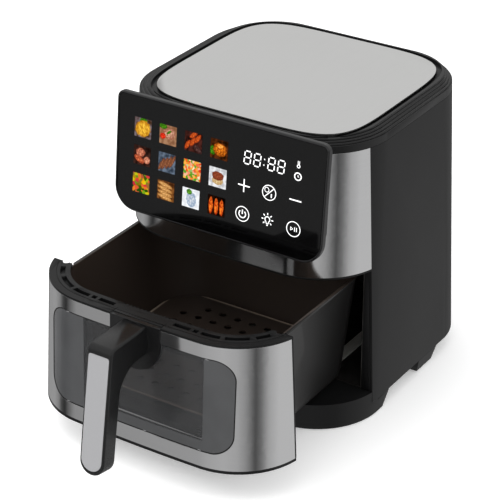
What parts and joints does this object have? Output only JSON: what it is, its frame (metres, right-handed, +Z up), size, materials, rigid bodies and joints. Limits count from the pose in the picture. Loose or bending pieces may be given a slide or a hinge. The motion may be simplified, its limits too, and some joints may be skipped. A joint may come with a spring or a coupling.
{
  "type": "air fryer",
  "caption": "Countertop air fryer with a tapered housing, leaning touch panel and a windowed drawer pan that slides out.",
  "frame": {"origin": "on the table, at the middle of the whole object's box with the drawer open as stored", "axes": "+Z up, -Y the way the drawer opens, +X to the right of someone facing the front"},
  "size_m": [0.3004, 0.5124, 0.3276],
  "materials": {
    "black_plastic": "fine satin black housing plastic",
    "gloss_black": "glossy black plastic",
    "steel": "brushed, vertical grain on the skins",
    "plate_steel": "fine satin steel",
    "panel_glass": "black touch glass with printed symbols",
    "smoked_glass": "smoked glass with a black printed border",
    "clear_glass": "clear",
    "coated_steel": "dark non-stick coating",
    "liner_steel": "plain sheet steel",
    "element_metal": "oxidised tube",
    "aluminium": "cast",
    "chrome": "plated wire",
    "rubber": "matte",
    "silicone": "matte silicone",
    "screw_steel": "zinc plated",
    "board_green": "lacquered board",
    "component_black": "moulded",
    "white_plastic": "plain",
    "lamp_lens": "frosted"
  },
  "bodies": {
    "housing": {"outer_shell": "black_plastic", "top_rim": "black_plastic", "top_plate": "plate_steel", "upper_skin": "steel", "opening_frame": "black_plastic", "front_soffit": "black_plastic", "cavity_liner": "liner_steel", "lamp_lens": "lamp_lens", "cavity_lamp": "white_plastic", "drawer_guides": "white_plastic", "reflector": "liner_steel", "heating_element": "element_metal", "element_guard": "chrome", "temperature_probe": "screw_steel", "base_shell": "black_plastic", "rear_feet": "black_plastic", "foot_pads": "rubber", "base_screws": "screw_steel", "rear_vent": "black_plastic", "cord_gland": "rubber", "panel_tray": "gloss_black", "panel_glass": "panel_glass", "display_board": "board_green", "panel_bracket": "black_plastic", "motor_bracket": "liner_steel", "motor_screws": "screw_steel", "fan_motor": "component_black", "motor_bearings": "chrome", "power_board": "board_green", "board_components": "component_black", "thermal_cutout": "white_plastic", "drawer_sensor": "component_black"},
    "drawer": {"drawer_skin": "steel", "drawer_frame": "black_plastic", "window_glass": "smoked_glass", "handle_boss": "black_plastic", "bottom_trim": "black_plastic", "vent_rim": "black_plastic", "handle": "gloss_black", "handle_inlay": "steel", "handle_screws": "screw_steel", "pan_hanger": "black_plastic", "pan": "coated_steel", "window_gasket": "silicone", "inner_glass": "clear_glass", "drawer_magnet": "chrome"},
    "crisper": {"crisper_plate": "coated_steel", "crisper_bumpers": "silicone"},
    "fan": {"motor_rotor": "liner_steel", "motor_shaft": "screw_steel", "hot_fan": "aluminium", "cooling_fan": "white_plastic"}
  },
  "joints": [
    {"name": "drawer_slide", "type": "slide", "parent": "housing", "child": "drawer", "axis": [0, -1, 0], "range_m": [-0.148, 0.05]},
    {"name": "crisper_lift", "type": "slide", "parent": "drawer", "child": "crisper", "axis": [0, 0, 1], "range_m": [0, 0.096]},
    {"name": "fan_spin", "type": "hinge", "parent": "housing", "child": "fan", "pos_m": [0, 0.12507, 0.25], "axis": [0, 0, 1], "continuous": true}
  ]
}
